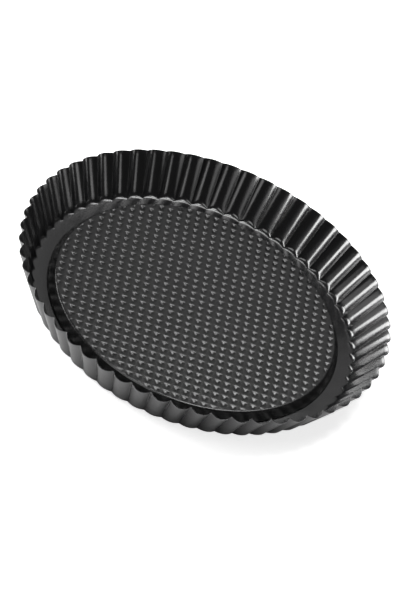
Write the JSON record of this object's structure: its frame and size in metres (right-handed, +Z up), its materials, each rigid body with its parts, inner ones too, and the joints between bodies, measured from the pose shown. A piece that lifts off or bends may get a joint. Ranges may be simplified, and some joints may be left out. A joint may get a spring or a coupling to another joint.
{
  "type": "loose-bottom fluted tart pan",
  "caption": "Round fluted tart pan in dark non-stick steel: a flared scalloped ring with a flat ledge, and a raised dimpled base that lifts out.",
  "frame": {"origin": "centre of the pan, on the surface it stands on", "axes": "+Z up along the pan's axis of symmetry; +X through the crest of a flute"},
  "size_m": [0.28, 0.2796, 0.0329],
  "materials": {
    "ring_coating": "dark grey non-stick coating, satin gloss",
    "base_coating": "dark grey non-stick coating, satin"
  },
  "bodies": {
    "ring": {"fluted_ring": "ring_coating"},
    "base": {"loose_base": "base_coating"}
  },
  "joints": [
    {"name": "base_lift", "type": "slide", "parent": "ring", "child": "base", "axis": [0, 0, 1], "range_m": [0, 0.05]}
  ]
}
